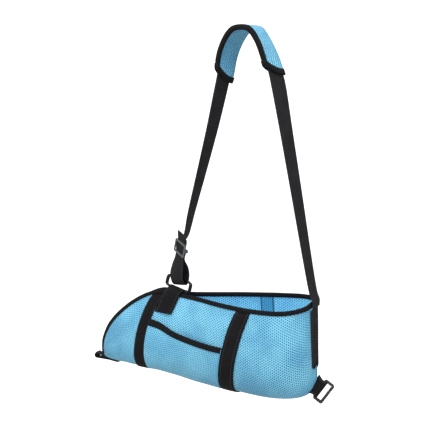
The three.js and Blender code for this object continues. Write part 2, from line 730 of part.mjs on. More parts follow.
// ---- webbing loop under the hand end ------------------------------------------------------

const HAND_LOOP_WIDTH = 15;
const HAND_LOOP_TIP = vec(-333, 0, -645.5);
const HAND_LOOP_ROUND = 4;

// Sewn under the fold, out past the hand end, round and back under itself.
function handLoop() {
  const turn = steps(90, 270, 8).map((degrees) => {
    const up = vec(Math.cos(radians(degrees)), 0, Math.sin(radians(degrees)));
    return { at: HAND_LOOP_TIP.clone().addScaledVector(up, HAND_LOOP_ROUND), up };
  });
  const under = (u, level) => {
    const at = fold.getPoint(u);
    at.z -= SKIN + 2 * LAY + WEB_THICK / 2 + (level < 0 ? 2 * PLY : 0);
    return { at, up: vec(0, 0, level) };
  };
  const upper = [0.1, 0.06, 0.02].map((u) => under(u, 1));
  const lower = [0.02, 0.06, 0.1].map((u) => under(u, -1));
  return [...upper, ...turn, ...lower].map(({ at, up }) => ({ at, up, wide: vec(0, 1, 0) }));
}
add("hand_end_loop", ribbon(handLoop(), HAND_LOOP_WIDTH / 2, WEB_THICK), WEB_BLACK, 0.85);

export default sling;
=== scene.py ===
"""Arm sling: a spacer-mesh pouch for the forearm on a webbing strap with a padded sleeve.

Shapes are worked out in millimetres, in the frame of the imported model, and stored in metres.
+X runs from the hand end to the elbow end and the front panel faces -Y.
"""
import math

import bpy
import numpy as np
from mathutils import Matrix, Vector


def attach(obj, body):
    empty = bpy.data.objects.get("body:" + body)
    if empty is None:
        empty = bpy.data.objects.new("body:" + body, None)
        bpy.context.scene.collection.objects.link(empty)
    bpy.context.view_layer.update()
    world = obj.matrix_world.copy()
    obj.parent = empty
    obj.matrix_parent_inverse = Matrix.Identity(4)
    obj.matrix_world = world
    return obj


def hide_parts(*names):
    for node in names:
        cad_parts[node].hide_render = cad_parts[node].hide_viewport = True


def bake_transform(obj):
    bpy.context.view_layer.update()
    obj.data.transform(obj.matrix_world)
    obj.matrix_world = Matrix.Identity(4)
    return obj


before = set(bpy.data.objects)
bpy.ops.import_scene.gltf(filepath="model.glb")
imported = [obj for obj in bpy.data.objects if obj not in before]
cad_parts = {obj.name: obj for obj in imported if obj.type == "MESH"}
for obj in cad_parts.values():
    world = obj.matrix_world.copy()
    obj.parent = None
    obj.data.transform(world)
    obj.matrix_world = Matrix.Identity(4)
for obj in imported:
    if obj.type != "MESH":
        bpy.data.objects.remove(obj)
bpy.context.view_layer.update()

MM = 0.001

# ---- driving sizes, in millimetres ----------------------------------------------------------

WEB_WIDTH = 32
WEB_THICK = 1.6
MESH_THICK = 3
SKIN = MESH_THICK / 2  # from the sheet's middle surface to its face
TAPE_THICK = 0.9
TAPE_COVER = 6.8  # how far in from the rim a tape reaches
HAND_END_COVER = 5.5
LAY = 0.6  # the gap between two layers that lie on each other
TOUCH = 0.35
WEB_FLOOR = SKIN + LAY
OVER_TAPE = WEB_FLOOR + TAPE_THICK + LAY

# ---- small tools ------------------------------------------------------------------------------


def vec(*numbers):
    return np.array(numbers, float)


def mix(a, b, share):
    return a + (b - a) * share


def smooth(x, low, high):
    share = np.clip((x - low) / (high - low), 0, 1)
    return share * share * (3 - 2 * share)


def unit(vectors):
    return vectors / np.maximum(np.linalg.norm(vectors, axis=-1, keepdims=True), 1e-9)


def steps(a, b, count):
    return np.linspace(a, b, count + 1)


def heading(degrees):
    """A level direction, turned from +X towards +Y."""
    angle = np.radians(degrees)
    return vec(np.cos(angle), np.sin(angle), 0)


def spline(points, t):
    """Points of a smooth curve through the given ones, at t from 0 to 1."""
    points = np.asarray(points, float)
    last = len(points) - 1
    padded = np.vstack([2 * points[0] - points[1], points, 2 * points[-1] - points[-2]])
    place = np.clip(np.asarray(t, float), 0, 1) * last
    i = np.clip(np.floor(place).astype(int), 0, last - 1)
    w = (place - i)[..., None]
    before, a, b, after = (padded[i + k] for k in range(4))
    slope_a = (b - before) / 2
    slope_b = (after - a) / 2
    return (
        a * (1 + 2 * w) * (1 - w) ** 2
        + slope_a * w * (1 - w) ** 2
        + b * w * w * (3 - 2 * w)
        + slope_b * w * w * (w - 1)
    )


# ---- mesh objects -----------------------------------------------------------------------------


def make_object(name, points, faces, uvs, material, body):
    """An object from points in mm, faces and one UV in mm for each point."""
    mesh = bpy.data.meshes.new(name)
    mesh.from_pydata((np.asarray(points) * MM).tolist(), [], faces)
    layer = mesh.uv_layers.new(name="cloth")
    corners = np.array([loop.vertex_index for loop in mesh.loops])
    layer.data.foreach_set("uv", (np.asarray(uvs)[corners] * MM).ravel())
    mesh.polygons.foreach_set("use_smooth", [True] * len(mesh.polygons))
    mesh.materials.append(material)
    mesh.update()
    piece = bpy.data.objects.new(name, mesh)
    bpy.context.collection.objects.link(piece)
    if body:
        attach(piece, body)
    return piece


def shell(name, top, bottom, uvs, material, body):
    """A closed sheet from two grids of points, rows by columns, with walls round the edge."""
    rows, columns = top.shape[:2]
    count = rows * columns
    points = np.concatenate([top.reshape(-1, 3), bottom.reshape(-1, 3)])
    at = np.arange(count).reshape(rows, columns)
    a, b = at[:-1, :-1].ravel(), at[1:, :-1].ravel()
    c, d = at[1:, 1:].ravel(), at[:-1, 1:].ravel()
    faces = np.stack([a, b, c, d], 1).tolist()
    faces += (np.stack([d, c, b, a], 1) + count).tolist()
    rim = np.concatenate([at[:, 0], at[-1, 1:], at[-2::-1, -1], at[0, -2::-1]])
    for p, q in zip(rim[:-1], rim[1:]):
        faces.append([int(q), int(p), int(p) + count, int(q) + count])
    flat = np.asarray(uvs, float).reshape(-1, 2)
    piece = make_object(name, points, faces, np.concatenate([flat, flat]), material, body)
    face_outwards(piece)
    return piece


def face_outwards(piece):
    """Turns the faces round if the closed mesh is inside out."""
    mesh = piece.data
    points = np.array([v.co[:] for v in mesh.vertices])
    middle = points.mean(0)
    total = 0.0
    for face in mesh.polygons:
        ring = points[list(face.vertices)] - middle
        for k in range(1, len(ring) - 1):
            total += np.dot(ring[0], np.cross(ring[k], ring[k + 1]))
    if total < 0:
        mesh.flip_normals()


def grid_uvs(points):
    """UVs in mm from the lengths along the rows and columns of a grid of points."""
    rows = np.linalg.norm(np.diff(points, axis=0), axis=2).mean(1)
    columns = np.linalg.norm(np.diff(points, axis=1), axis=2).mean(0)
    u = np.concatenate([[0], np.cumsum(rows)])
    v = np.concatenate([[0], np.cumsum(columns)])
    v = v - v[-1] / 2
    return np.stack(np.meshgrid(u, v, indexing="ij"), 2)


# ---- materials --------------------------------------------------------------------------------


def srgb(red, green, blue):
    """A colour given as 0 to 255 per channel, made linear."""
    def line(value):
        value = value / 255
        return value / 12.92 if value <= 0.04045 else ((value + 0.055) / 1.055) ** 2.4
    return (line(red), line(green), line(blue), 1)


YARN = srgb(108, 202, 236)
# SHADE and POCKET_SHADE are the yarn in painted shade, for its darker patches.
SHADE = srgb(72, 172, 215)
POCKET_SHADE = srgb(78, 178, 218)
# Painted shade inside the mesh's holes and in the pad's channels.
HOLE_SHADE = srgb(18, 80, 120)
# Painted shadow of a band, seen through the sheet on its inner face, darkest along the band's
# edges.
BAND_SHADOW = srgb(72, 150, 188)
BAND_EDGE_SHADOW = srgb(22, 66, 96)
BLACK = srgb(8, 8, 9)
WEB_LIGHT = srgb(28, 28, 30)
STRAP_LIGHT = srgb(46, 46, 49)
THREAD = srgb(92, 92, 96)
WHITE = (1, 1, 1, 1)

# Repeats of a weave in mm: its ribs, then its twill.
WEB_WEAVE = (1.8, 5.2)
TAPE_WEAVE = (1.1, 3.2)
STITCH_PITCH = 3.2 * MM


class Nodes:
    """Short ways to add and join shader nodes."""

    def __init__(self, name):
        self.material = bpy.data.materials.new(name)
        self.material.use_nodes = True
        self.tree = self.material.node_tree
        self.shader = self.tree.nodes["Principled BSDF"]

    def node(self, kind, inputs=None, **settings):
        made = self.tree.nodes.new("ShaderNode" + kind)
        for key, value in settings.items():
            setattr(made, key, value)
        for key, value in (inputs or {}).items():
            self.put(made.inputs[key], value)
        return made

    def put(self, socket, value):
        if isinstance(value, bpy.types.NodeSocket):
            self.tree.links.new(value, socket)
        else:
            socket.default_value = value

    def math(self, operation, a, b=0.0):
        return self.node("Math", {0: a, 1: b}, operation=operation).outputs[0]

    def blend(self, share, a, b, kind="MIX"):
        made = self.node("Mix", {"Factor": share}, data_type="RGBA", blend_type=kind)
        self.put(made.inputs[6], a)
        self.put(made.inputs[7], b)
        return made.outputs[2]

    def ramp(self, value, low, high, start=0.0, end=1.0):
        made = self.node("MapRange", {"Value": value, "From Min": low, "From Max": high,
                                      "To Min": start, "To Max": end})
        made.interpolation_type = "SMOOTHSTEP"
        return made.outputs[0]

    def cloth(self, turn=0.0, scale=(1, 1, 1)):
        """The cloth's own flat coordinates in metres, turned by some degrees and scaled."""
        uv = self.node("UVMap", uv_map="cloth").outputs[0]
        return self.node("Mapping", {"Vector": uv, "Rotation": (0, 0, math.radians(turn)),
                                     "Scale": scale}).outputs[0]

    def noise(self, coordinates, scale, detail=2.0):
        return self.node("TexNoise", {"Vector": coordinates, "Scale": scale,
                                      "Detail": detail}).outputs["Fac"]

    def bump(self, height, strength, distance):
        made = self.node("Bump", {"Height": height, "Strength": strength, "Distance": distance})
        self.put(self.shader.inputs["Normal"], made.outputs[0])

    def set(self, **values):
        for key, value in values.items():
            self.put(self.shader.inputs[key.replace("_", " ")], value)
        return self.material


# Scales of noise are per metre of cloth, and lengths on the cloth are in metres.
HOLE_ROWS = 3.7 * MM  # of the spacer mesh, from one row of holes to the next
RIB_PITCH = 5.5 * MM  # of the channels that the pad's mesh shows
HOLE_DEPTH = 0.85  # how much of the painted shade in the holes they show
PAINTED_INSIDE_GLOW = 0.28  # painted glow on the sheet's inner face, standing in for daylight that comes through it


def hole_field(n):
    """Three waves at 60 degrees to each other, which peak together at staggered holes."""
    total = None
    for turn in (0, 60, 120):
        flat = n.node("SeparateXYZ", {"Vector": n.cloth(turn=turn)}).outputs[0]
        wave = n.math("COSINE", n.math("MULTIPLY", flat, 2 * math.pi / HOLE_ROWS))
        total = wave if total is None else n.math("ADD", total, wave)
    return total


def spacer_mesh(name, yarn, shade, ribs=0.0):
    """Knitted spacer mesh: shiny yarn with painted highlights, round staggered holes painted dark
    with the shade inside them. Soft patches of painted light and shade lie over the yarn.

    The sheet's inner face carries painted shadows of the bands sewn on behind it, and a painted
    glow for the daylight through it.
    """
    n = Nodes(name)
    flat = n.cloth()
    wobble = n.math("MULTIPLY", n.math("SUBTRACT", n.noise(flat, 700), 0.5), 0.8)
    field = n.math("ADD", hole_field(n), wobble)
    open_hole = n.ramp(field, 0.5, 1.6)
    # Soft random patches of painted light and shade over the yarn.
    light_and_shade_patches = n.ramp(n.noise(flat, 13, 2.5), 0.36, 0.66)
    yarn_colour = n.blend(light_and_shade_patches, shade, yarn)
    strand = n.noise(n.cloth(scale=(1, 0.35, 1)), 1500)
    # Painted highlights: white screened over the yarn along its strands.
    yarn_colour = n.blend(n.ramp(strand, 0.3, 0.75, 0.0, 0.2), yarn_colour, WHITE, "SCREEN")
    # Painted shadows of the bands sewn on outside, darkest along their edges.
    through = n.node("Attribute", attribute_name="show_through").outputs["Fac"]
    yarn_colour = n.blend(n.ramp(through, 0.0, 0.5), yarn_colour, BAND_SHADOW)
    yarn_colour = n.blend(n.ramp(through, 0.5, 0.9, 0.0, 0.9), yarn_colour, BAND_EDGE_SHADOW)
    # Painted shade in the channels along the pad's mesh, in the holes' shade colour.
    if ribs:
        across = n.node("SeparateXYZ", {"Vector": flat}).outputs[1]
        rib = n.math("COSINE", n.math("MULTIPLY", across, 2 * math.pi / RIB_PITCH))
        yarn_colour = n.blend(n.ramp(rib, 0.0, 1.0, 0.0, ribs), yarn_colour, HOLE_SHADE)
    # Painted shade in the holes.
    colour = n.blend(n.math("MULTIPLY", open_hole, HOLE_DEPTH), yarn_colour, HOLE_SHADE)
    height = n.math("SUBTRACT", n.math("MULTIPLY", strand, 0.5), n.ramp(field, -0.8, 2.2))
    n.bump(height, 0.6, 0.0012)
    rough = n.math("ADD", n.math("MULTIPLY", open_hole, 0.3), n.math("MULTIPLY", strand, 0.35))
    rough = n.math("ADD", rough, 0.34)
    # A painted glow: emission on the inner face for the daylight through the sheet.
    painted_glow = n.node("Attribute", attribute_name="painted_glow").outputs["Fac"]
    glow = n.math("MULTIPLY", painted_glow, PAINTED_INSIDE_GLOW)
    return n.set(Base_Color=colour, Roughness=rough, Specular_IOR_Level=0.3, Sheen_Weight=0.06,
                 Sheen_Roughness=0.4, Emission_Color=colour, Emission_Strength=glow)


def woven(name, dark, light, rib, twill, stitch_at=0.0, half_width=WEB_WIDTH / 2):
    """Black webbing or tape: ribs across it, a diagonal twill, paler towards its edges, and
    stitches.

    rib and twill are the weave's repeats in mm. stitch_at is how far from the middle the two
    rows of stitches run, in mm, with 0 for none.
    """
    n = Nodes(name)
    flat = n.cloth()
    split = n.node("SeparateXYZ", {"Vector": flat})
    along, across = split.outputs[0], split.outputs[1]
    ribs = n.math("SINE", n.math("MULTIPLY", along, 2 * math.pi / (rib * MM)))
    slant = n.math("ADD", along, n.math("MULTIPLY", n.math("ABSOLUTE", across), 0.9))
    diagonal = n.math("SINE", n.math("MULTIPLY", slant, 2 * math.pi / (twill * MM)))
    weave = n.math("ADD", n.math("MULTIPLY", ribs, 0.3), n.math("MULTIPLY", diagonal, 0.45))
    fibre = n.noise(n.cloth(scale=(1, 3, 1)), 1100, 3.0)
    wear = n.noise(flat, 35, 3.0)
    height = n.math("ADD", weave, n.math("MULTIPLY", fibre, 0.8))
    share = n.ramp(n.math("ADD", height, n.math("MULTIPLY", wear, 0.9)), -0.2, 1.6)
    edge = n.ramp(n.math("ABSOLUTE", across), (half_width - 2.2) * MM, half_width * MM, 0.0, 0.35)
    colour = n.blend(n.math("ADD", share, edge), dark, light)
    if stitch_at:
        off = n.math("SUBTRACT", n.math("ABSOLUTE", across), stitch_at * MM)
        line = n.ramp(n.math("ABSOLUTE", off), 0.25 * MM, 0.6 * MM, 1.0, 0.0)
        beat = n.math("SINE", n.math("MULTIPLY", along, 2 * math.pi / STITCH_PITCH))
        dash = n.ramp(beat, -0.5, 0.1)
        stitch = n.math("MULTIPLY", line, dash)
        colour = n.blend(n.math("MULTIPLY", stitch, 0.6), colour, THREAD)
        height = n.math("ADD", n.math("SUBTRACT", height, n.math("MULTIPLY", line, 1.2)),
                        n.math("MULTIPLY", stitch, 2.0))
    n.bump(height, 0.6, 0.0006)
    rough = n.ramp(fibre, 0.2, 0.8, 0.62, 0.88)
    return n.set(Base_Color=colour, Roughness=rough, Specular_IOR_Level=0.1, Sheen_Weight=0.01,
                 Sheen_Roughness=0.5)


def moulded(name, dark, light, low, high, grain, shine):
    """Moulded plastic: a fine surface grain, faint cloudiness and handling marks.

    low and high are the ends of its roughness.
    """
    n = Nodes(name)
    place = n.node("TexCoord").outputs["Object"]
    cloud = n.noise(place, 90, 3.0)
    fine = n.noise(place, 2600, 2.0)
    marks = n.ramp(n.noise(place, 420, 5.0), 0.55, 0.7)
    n.bump(n.math("ADD", fine, n.math("MULTIPLY", cloud, 1.5)), grain, 0.0003)
    rough = n.math("ADD", n.ramp(cloud, 0.3, 0.7, low, high), n.math("MULTIPLY", marks, 0.12))
    return n.set(Base_Color=n.blend(cloud, dark, light), Roughness=rough,
                 Specular_IOR_Level=shine)


MESH = spacer_mesh("pouch_spacer_mesh", YARN, SHADE)
POCKET_MESH = spacer_mesh("pocket_spacer_mesh", YARN, POCKET_SHADE)
PAD_MESH = spacer_mesh("pad_spacer_mesh", YARN, SHADE, ribs=0.35)
WEBBING = woven("black_webbing", BLACK, STRAP_LIGHT, *WEB_WEAVE)
BAND = woven("black_band_webbing", BLACK, WEB_LIGHT, *WEB_WEAVE, stitch_at=11.2, half_width=15)
TAB_WEB = woven("black_tab_webbing", BLACK, WEB_LIGHT, *WEB_WEAVE, stitch_at=13.4)
TAPE = woven("black_binding_tape", BLACK, WEB_LIGHT, *TAPE_WEAVE, half_width=9)
GLOSS = moulded("gloss_ring_plastic", srgb(12, 12, 14), srgb(20, 20, 23),
                low=0.14, high=0.26, grain=0.08, shine=0.3)
SATIN = moulded("satin_buckle_plastic", srgb(40, 42, 42), srgb(56, 58, 58),
                low=0.4, high=0.55, grain=0.25, shine=0.2)
GREY_SATIN = moulded("grey_slider_plastic", srgb(74, 78, 77), srgb(96, 100, 98),
                     low=0.3, high=0.45, grain=0.25, shine=0.4)

# ---- the pouch's surface ----------------------------------------------------------------------

# From the hand end to the elbow seam: rim x, front rim z, back rim z, half the opening, fold x,
# fold z, half the depth of the bag.
STATIONS = np.array([
    [-318, -633, -633, 7, -310, -646, 8],
    [-311, -603, -603, 14, -288, -648, 22],
    [-291, -567, -567, 19, -260, -649, 32],
    [-259, -534, -534, 19, -232, -650, 39],
    [-221, -507, -507, 15, -200, -650.5, 43],
    [-182, -492, -492, 9, -166, -652.5, 46],
    [-142, -495, -495, 6, -130, -656, 48],
    [-92, -496, -493, 16, -85, -661.5, 51],
    [-30, -497, -490, 35, -28, -666, 55],
    [40, -497, -486, 48, 40, -669, 58],
    [95, -494, -482, 47, 94, -665, 54],
    [127, -487, -479, 26, 129, -651, 29],
    [136.5, -478, -478, 3.4, 142.5, -622, 3.4],
], float)
RIM_X, FRONT_Z, BACK_Z, OPEN, FOLD_X, FOLD_Z, DEPTH = STATIONS.T
NOUGHT = np.zeros(len(STATIONS))
FRONT_RIM = np.stack([RIM_X, -OPEN, FRONT_Z], 1)
BACK_RIM = np.stack([RIM_X, OPEN, BACK_Z], 1)
FOLD = np.stack([FOLD_X, NOUGHT, FOLD_Z], 1)
BELLY = np.stack([FOLD_X, 1.12 * DEPTH, FOLD_Z], 1)
FLANK = np.stack([
    mix(RIM_X, FOLD_X, 0.4),
    0.5 * OPEN + 0.66 * DEPTH,
    mix(FRONT_Z, FOLD_Z, 0.38),
], 1)


def bare_pouch(u, v):
    """The sheet's middle surface. v is -1 at the front rim, 0 at the fold, 1 at the back rim."""
    u, v = np.broadcast_arrays(np.asarray(u, float), np.asarray(v, float))
    side = np.where(v < 0, -1.0, 1.0)[..., None] * vec(0, 1, 0) + vec(1, 0, 1)
    rim = np.where((v < 0)[..., None], spline(FRONT_RIM, u), spline(BACK_RIM, u))
    w = np.abs(v)[..., None]
    return (
        spline(FOLD, u) * (1 - w) ** 3
        + 3 * spline(BELLY, u) * side * w * (1 - w) ** 2
        + 3 * spline(FLANK, u) * side * w * w * (1 - w)
        + rim * w ** 3
    )


def slopes(u, v):
    """How the surface runs along and across, and its outward direction."""
    u, v = np.broadcast_arrays(np.asarray(u, float), np.asarray(v, float))
    d = 0.002
    u0, u1 = np.maximum(u - d, 0), np.minimum(u + d, 1)
    v0, v1 = np.maximum(v - d, -1), np.minimum(v + d, 1)
    along = (bare_pouch(u1, v) - bare_pouch(u0, v)) / (u1 - u0)[..., None]
    across = (bare_pouch(u, v1) - bare_pouch(u, v0)) / (v1 - v0)[..., None]
    return along, across, unit(np.cross(across, along))


def slack(u, v):
    """How far the soft sheet stands off its even shape, in mm: sags, folds and a pull.

    The sheet hangs even along its rims and at both ends.
    """
    u, v = np.broadcast_arrays(np.asarray(u, float), np.asarray(v, float))
    side = np.where(v < 0, 0.0, 1.7)
    w = np.abs(v)
    rim_fade = 1 - smooth(w, 0.8, 0.97)
    end_fade = smooth(u, 0.02, 0.12) * (1 - smooth(u, 0.9, 0.97))
    hang = 1.5 * np.sin(2 * math.pi * (3.1 * u + 0.25 * w) + side) * smooth(w, 0.1, 0.7)
    fold = 0.9 * np.sin(2 * math.pi * (7.3 * u - 0.9 * w) + 2.1 * side + 1.0) * smooth(w, 0.3, 0.8)
    ripple = 0.35 * np.sin(41 * u + 9 * w + side) * np.sin(13 * w - 17 * u)
    pull = 1.6 * np.exp(-(((u - 0.5 + 0.16 * (1 - w)) / 0.035) ** 2)) * smooth(w, 0.35, 0.8)
    return (hang + fold + ripple - pull) * rim_fade * end_fade


def off_pouch(u, v, height=0.0):
    """A point that stands off the slack surface, outward for a positive height."""
    out = slopes(u, v)[2]
    return bare_pouch(u, v) + out * (np.asarray(height, float) + slack(u, v))[..., None]


def in_from_rim(u, side, distance):
    """The (u, v) that lies a distance in from the rim, square to it."""
    along, across, out = slopes(u, side)
    inward = unit(np.cross(along, out))
    inward *= -np.sign(np.sum(inward * across, -1, keepdims=True) * side)
    inward *= np.asarray(distance)[..., None]
    a, b, c = (np.sum(p * q, -1) for p, q in ((along, along), (along, across), (across, across)))
    p, q = np.sum(inward * along, -1), np.sum(inward * across, -1)
    det = a * c - b * b
    return u + (p * c - q * b) / det, side + (q * a - p * b) / det


# ---- bands ------------------------------------------------------------------------------------

WRIST_BAND = (0.425, 0.294, 2.2, 13)  # u at the rim, u at the fold, bend, half width in mm
MIDDLE_BAND = (0.727, 0.671, 1.9, 16)


def band_u(band, v):
    """The u of a band's middle line at v."""
    return mix(band[1], band[0], np.abs(v) ** band[2])


# The strip of painted shadow that each band casts through the sheet onto its inner face:
STRIP_LEAN = 0.1  # how far the strip leans towards the elbow below the back rim
STRIP_INSET = 4.5  # how much narrower than its band it shows, on each side
STRIP_EDGE = 1.7


def band_shadow_inside(u, v, band):
    """A band's painted shadow on the sheet's inner face: 0.5 over it, 1 along its two edges."""
    along = np.linalg.norm(slopes(u, v)[0], axis=-1)
    lean = STRIP_LEAN * np.clip(1 - v, 0, 0.3)
    off = np.abs(u - band_u(band, v) - lean) * along
    half = band[3] - STRIP_INSET
    edge = np.exp(-(((off - half) / STRIP_EDGE) ** 2))
    return np.maximum(0.5 * (1 - smooth(off, half - 1, half + 1)), edge)


def pouch():
    """The pouch's folded sheet, whose inner face has painted shadows of the bands sewn on behind
    it.
    """
    # Rows lie closer together where the edges of the middle band's painted shadow lie.
    rows = np.concatenate([steps(0, 0.66, 96), steps(0.6615, 0.745, 70), steps(0.75, 1, 56)])
    columns = steps(-1, 1, 120)
    u, v = np.meshgrid(rows, columns, indexing="ij")
    top, bottom = off_pouch(u, v, SKIN), off_pouch(u, v, -SKIN)
    middle = (top + bottom) / 2
    piece = shell("pouch_cloth", top, bottom, grid_uvs(middle), MESH, "pouch")
    band_shadows = np.maximum(band_shadow_inside(u, v, WRIST_BAND), band_shadow_inside(u, v, MIDDLE_BAND)).ravel()
    # Only the inner face gets the bands' painted shadows and the painted daylight glow.
    for key, inside in (("show_through", band_shadows), ("painted_glow", np.ones(len(band_shadows)))):
        values = piece.data.attributes.new(key, "FLOAT", "POINT")
        values.data.foreach_set("value", np.concatenate([0 * band_shadows, inside]))
    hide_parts("pouch_panel")
    return piece


# ---- tapes ------------------------------------------------------------------------------------

# The section of a tape folded over an edge: the share of its cover that it reaches in, or of its
# own thickness that it stands out, and the share of its height over the middle.
TAPE_SECTION = [(1, 1), (0.55, 1.03), (0.12, 1), (-0.5, 0.72), (-1, 0), (-0.5, -0.72),
                (0.12, -1), (0.55, -1.03), (1, -1)]
BINDING_END = 0.987


def rim_tape(name, side):
    """Tape folded over a rim of the pouch."""
    rows = steps(0, BINDING_END, 150)
    cover = mix(HAND_END_COVER, TAPE_COVER, smooth(rows, 0, 0.08))
    ripple = 0.1 * np.sin(rows * 95) + 0.06 * np.sin(rows * 233)
    faces = []
    for skin in (TAPE_THICK, 0.0):
        grid = []
        for inwards, level in TAPE_SECTION:
            reach = inwards * (cover if inwards > 0 else TOUCH + skin)
            u, v = in_from_rim(rows, side, np.maximum(reach, 0))
            lift = level * (SKIN + LAY + skin) + ripple * np.sign(level)
            point = off_pouch(u, np.clip(v, -1, 1), lift)
            if inwards < 0:
                along, across, out = slopes(rows, side)
                beyond = unit(np.cross(along, out))
                beyond *= np.sign(np.sum(beyond * across, -1, keepdims=True) * side)
                point = point - beyond * reach
            grid.append(point)
        faces.append(np.stack(grid, 1))
    piece = shell(name + "_tape", *faces, grid_uvs(faces[0]), TAPE, "pouch")
    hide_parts(name)


# ---- webbing on the pouch ----------------------------------------------------------------------


BAND_END = 0.985  # v where a band ends
TUCK_START = 0.925  # v from where it sinks under the rim's tape
TUCK_LENGTH = 0.035
BAND_CROWN = 0.5


def pouch_band(name, band):
    """A band sewn round the pouch from rim to rim, crowned a little between its stitches."""
    v, across = np.meshgrid(steps(-BAND_END, BAND_END, 130), steps(-1, 1, 8), indexing="ij")
    u = band_u(band, v)
    beside = u + across * band[3] / np.linalg.norm(slopes(u, v)[0], axis=-1)
    crown = BAND_CROWN * (1 - across ** 4)
    sink = smooth(np.abs(v), TUCK_START, TUCK_START + TUCK_LENGTH)
    top = off_pouch(beside, v, mix(WEB_FLOOR + WEB_THICK + crown, SKIN + LAY / 2, sink))
    bottom = off_pouch(beside, v, mix(SKIN + LAY / 2, SKIN - LAY, sink))
    piece = shell(name + "_webbing", top, bottom, grid_uvs(top), BAND, "pouch")
    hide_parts(name)


# ---- pocket -----------------------------------------------------------------------------------

POCKET_THICK = 2.4
POCKET_GAPE = 6  # how far the middle of its mouth stands off the pouch
POCKET_SAG = 0.8
POCKET_MOUTH = (-0.735, -0.64)  # v at the wrist band and at the middle band
MOUTH_BOW = 0.03
POCKET_FOOT = -0.14
POCKET_RISE = TAPE_THICK + LAY
POCKET_SIDE_GAP = 0.2
POCKET_CLOTH_END = 0.985  # share of the way up where the cloth ends, inside its tape
MOUTH_COVER = 0.08  # share of the way up that the tape covers
POCKET_HEIGHT = 90


def on_pocket(across, up, height):
    """A place on the pocket: across from one band to the other, up from the foot."""
    mouth = mix(*POCKET_MOUTH, across) + MOUTH_BOW * np.sin(math.pi * across)
    v = mix(POCKET_FOOT, mouth, up)

    def beside(band, side):
        u = band_u(band, v)
        return u + side * (band[3] + POCKET_SIDE_GAP) / np.linalg.norm(slopes(u, v)[0], axis=-1)

    u = mix(beside(WRIST_BAND, 1), beside(MIDDLE_BAND, -1), across)
    free = np.sin(math.pi * across)
    gape = POCKET_GAPE * free * smooth(up, 0, 1)
    sag = POCKET_SAG * np.sin(9 * across + 3 * up) * free * smooth(up, 0.1, 0.8)
    rise = POCKET_RISE * smooth(up, 0, 0.7)
    return off_pouch(u, v, WEB_FLOOR + rise + gape + sag + height)


def pocket():
    across, up = np.meshgrid(steps(0, 1, 60), steps(0, POCKET_CLOTH_END, 40), indexing="ij")
    top = on_pocket(across, up, POCKET_THICK)
    bottom = on_pocket(across, up, 0)
    piece = shell("pocket_cloth", top, bottom, grid_uvs(top), POCKET_MESH, "pouch")
    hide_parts("pocket_panel")


def pocket_tape():
    places = steps(0, 1, 60)
    faces = []
    for skin in (TAPE_THICK, 0.0):
        grid = []
        for inwards, level in TAPE_SECTION:
            reach = inwards * (MOUTH_COVER if inwards > 0 else (TOUCH + skin) / POCKET_HEIGHT)
            rise = level * (POCKET_THICK / 2 + TOUCH + skin)
            grid.append(on_pocket(places, 1 - reach, POCKET_THICK / 2 + rise))
        faces.append(np.stack(grid, 1))
    piece = shell("pocket_mouth_tape", *faces, grid_uvs(faces[0]), TAPE, "pouch")
    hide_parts("pocket_binding")


# ---- ribbons ----------------------------------------------------------------------------------


def turned(at, along, wish):
    """(place, width direction, face direction) of a strap, its width nearest to a wish."""
    along = unit(along)
    wide = unit(wish - along * np.sum(wish * along, -1, keepdims=True))
    return at, wide, unit(np.cross(wide, along))


RIBBON_SECTION = steps(-1, 1, 6)


def ribbon(name, node, frames, half_width, material, body, thick=WEB_THICK):
    """A webbing strip through frames, its edges a little thinner than its middle."""
    at, wide, up = (np.asarray(part, float)[:, None, :] for part in frames)
    across = RIBBON_SECTION[None, :, None]
    middle = at + wide * across * half_width
    half = thick / 2 * (1 - 0.45 * np.abs(across) ** 8)
    top, bottom = middle + up * half, middle - up * half
    piece = shell(name, top, bottom, grid_uvs(middle), material, body)
    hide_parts(node)
    return piece


def stack(frames):
    """A list of (place, width, face) turned into three arrays."""
    return [np.array(part, float) for part in zip(*frames)]


def finer(frames, count):
    """The same run of frames, smoothed through count + 1 steps."""
    t = steps(0, 1, count)
    at, wide, up = (spline(part, t) for part in stack(frames))
    return at, unit(wide), unit(up)


# ---- wrist ring and tab -----------------------------------------------------------------------

RING_WIRE = 5
RING_ENDS = 0.4  # how much stouter the ring's two bare ends are
RING_WIDTH = 57
RING_HEIGHT = 22
RING_FOOT = vec(-147, -0.5, -488.5)
RING_ALONG = unit(vec(0.97, -0.17, -0.19))
RING_UP = turned(RING_FOOT, RING_ALONG, vec(0.42, 0.1, 0.89))[1]
RING_SQUARENESS = 0.42


def ring():
    """A closed ring of moulded wire, nearly a rectangle, stouter at its two bare ends."""
    angle = steps(0, 2 * math.pi, 160)[:-1]
    sides = 16

    def square(c):
        return np.sign(c) * np.abs(c) ** RING_SQUARENESS

    side = square(np.cos(angle))[:, None]
    rise = (1 + square(np.sin(angle)))[:, None]
    path = RING_FOOT + RING_ALONG * side * RING_WIDTH / 2 + RING_UP * rise * RING_HEIGHT / 2
    tangent = unit(np.roll(path, -1, 0) - np.roll(path, 1, 0))
    normal = unit(np.cross(RING_ALONG, RING_UP))[None, :] + 0 * tangent
    inner = np.cross(tangent, normal)
    points, faces = [], []
    radius = RING_WIRE / 2 * (1 + RING_ENDS * smooth(np.abs(side), 0.86, 1))
    for k in range(sides):
        turn = 2 * math.pi * k / sides
        points.append(path + (normal * math.cos(turn) + inner * math.sin(turn)) * radius)
    points = np.stack(points, 1)
    count = len(path)
    for i in range(count):
        for k in range(sides):
            j, m = (i + 1) % count, (k + 1) % sides
            faces.append([i * sides + k, j * sides + k, j * sides + m, i * sides + m])
    points = points.reshape(-1, 3)
    piece = make_object("wrist_ring_moulding", points, faces, 0 * points[:, :2], GLOSS, "ring")
    face_outwards(piece)
    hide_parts("wrist_ring")


